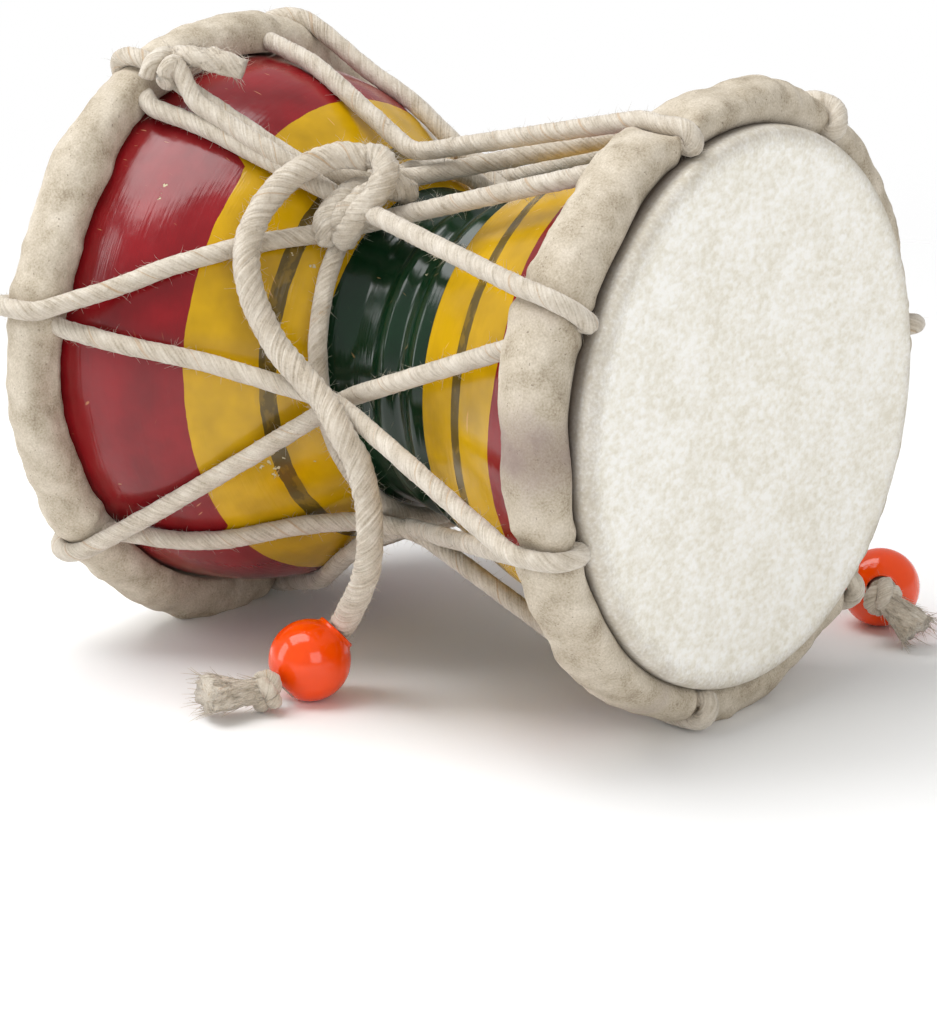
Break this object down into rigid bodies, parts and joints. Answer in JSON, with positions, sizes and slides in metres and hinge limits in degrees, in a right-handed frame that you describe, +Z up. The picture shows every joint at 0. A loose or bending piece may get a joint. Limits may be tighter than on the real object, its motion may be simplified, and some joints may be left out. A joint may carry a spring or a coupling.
{
  "type": "hourglass drum",
  "caption": "Small two-headed hourglass hand drum with rolled hide rims, zigzag cord lacing drawn in at the waist and knotted cord strikers that end in round beads",
  "frame": {"origin": "on the surface the drum lies on, under the middle of the drum and its lacing; the strikers (their cords, beads and end knots) aren't counted", "axes": "+X along the drum's axis, from the head beside the lacing's tie knot to the other one; +Z up; the front striker hangs on the -Y side"},
  "size_m": [0.1103, 0.1154, 0.095],
  "materials": {
    "lacquered_wood": "gloss lacquer in red, yellow and green bands",
    "hide": "matt rawhide, suede-like on the rolled rims",
    "cotton_cord": "soft twisted cotton",
    "bead_plastic": "gloss"
  },
  "bodies": {
    "root": {"shell": "lacquered_wood", "left_head": "hide", "right_head": "hide", "lacing": "cotton_cord", "waist_knot_front": "cotton_cord", "waist_knot_back": "cotton_cord", "striker_cord_front": "cotton_cord", "striker_cord_back": "cotton_cord", "bead_front": "bead_plastic", "bead_back": "bead_plastic", "end_knot_front": "cotton_cord", "end_knot_back": "cotton_cord"}
  },
  "joints": []
}
